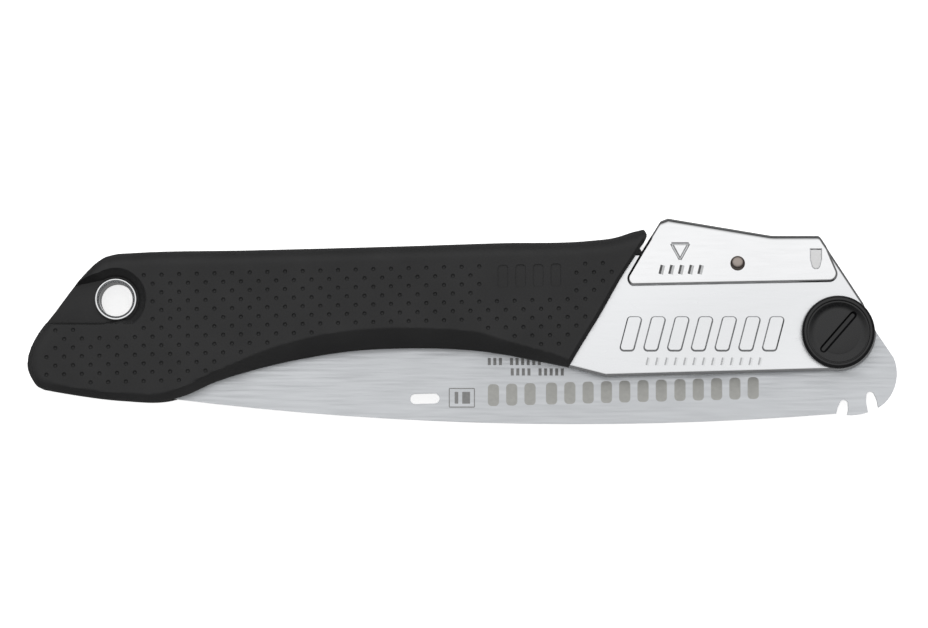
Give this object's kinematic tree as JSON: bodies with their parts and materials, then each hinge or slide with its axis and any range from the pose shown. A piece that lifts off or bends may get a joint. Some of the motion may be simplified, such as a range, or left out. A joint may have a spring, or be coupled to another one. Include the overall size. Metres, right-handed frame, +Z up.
{
  "type": "folding pruning saw",
  "caption": "Folding pruning saw: a toothed blade that folds into a channel-frame handle with a rubber grip, locked open by a sprung lever.",
  "frame": {"origin": "on the blade's pivot axis, in the plane the closed saw lies on (the rear face of the pivot nut)", "axes": "+X towards the pivot end, +Y towards the spine with the lock lever, +Z up through the handle's thickness"},
  "size_m": [0.242, 0.0571, 0.02],
  "materials": {
    "frame_steel": "polished, faintly brushed",
    "lever_steel": "polished",
    "blade_steel": "satin ground",
    "grip_rubber": "matt, dimpled",
    "eyelet_chrome": "polished",
    "black_oxide": "semi-gloss black",
    "plain_steel": "machined",
    "spring_steel": "drawn wire",
    "spacer_nylon": "moulded"
  },
  "bodies": {
    "handle": {"frame_channel": "frame_steel", "grip": "grip_rubber", "lanyard_eyelet": "eyelet_chrome", "pivot_bolt": "black_oxide", "pivot_nut": "black_oxide", "pivot_bush": "plain_steel", "spacer_front": "spacer_nylon", "spacer_rear": "spacer_nylon", "lever_rivet": "plain_steel", "rivet_spacer": "plain_steel", "lever_spring": "spring_steel"},
    "blade": {"blade": "blade_steel"},
    "lever": {"lock_lever": "lever_steel", "lock_bar": "plain_steel"}
  },
  "joints": [
    {"name": "blade_fold", "type": "hinge", "parent": "handle", "child": "blade", "pos_m": [0, 0, 0.01], "axis": [0, 0, 1], "range_deg": [0, 192]},
    {"name": "lever_press", "type": "hinge", "parent": "handle", "child": "lever", "pos_m": [-0.0278, 0.01925, 0.01], "axis": [0, 0, 1], "range_deg": [0, 12.4], "stiffness_Nm_per_rad": 1, "springref_deg": -8.59, "deforming": ["lever_spring"]}
  ]
}
